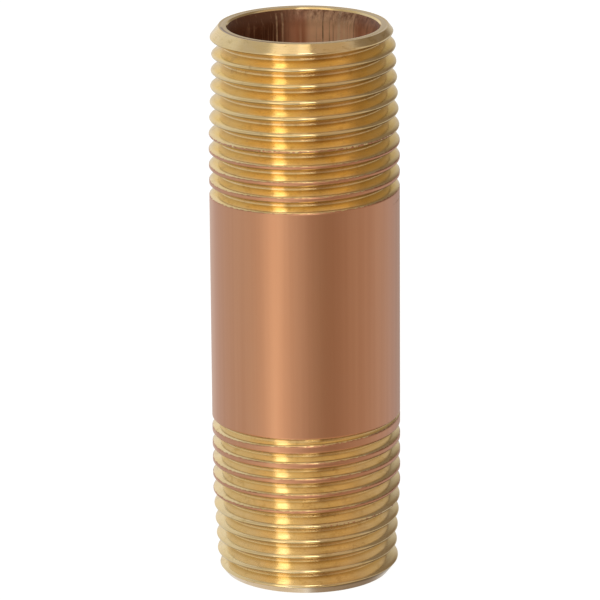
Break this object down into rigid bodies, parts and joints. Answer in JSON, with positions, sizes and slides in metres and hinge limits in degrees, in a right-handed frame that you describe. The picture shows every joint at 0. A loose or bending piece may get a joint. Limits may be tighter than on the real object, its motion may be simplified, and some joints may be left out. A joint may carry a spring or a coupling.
{
  "type": "threaded pipe nipple",
  "caption": "Straight brass pipe nipple with a plain round barrel, a through bore and a tapered right-hand pipe thread on each end.",
  "frame": {"origin": "centre of the lower end face, on the pipe's axis", "axes": "+Z along the pipe's axis towards the upper end; +X and +Y have no preferred direction on the real part, except that the thread grooves start at set angles"},
  "size_m": [0.0214, 0.0214, 0.0635],
  "materials": {
    "red_brass": "satin drawn copper-coloured skin on the barrel, bright golden machined threads and chamfers, brown oxidised bore"
  },
  "bodies": {
    "root": {"nipple_body": "red_brass"}
  },
  "joints": []
}
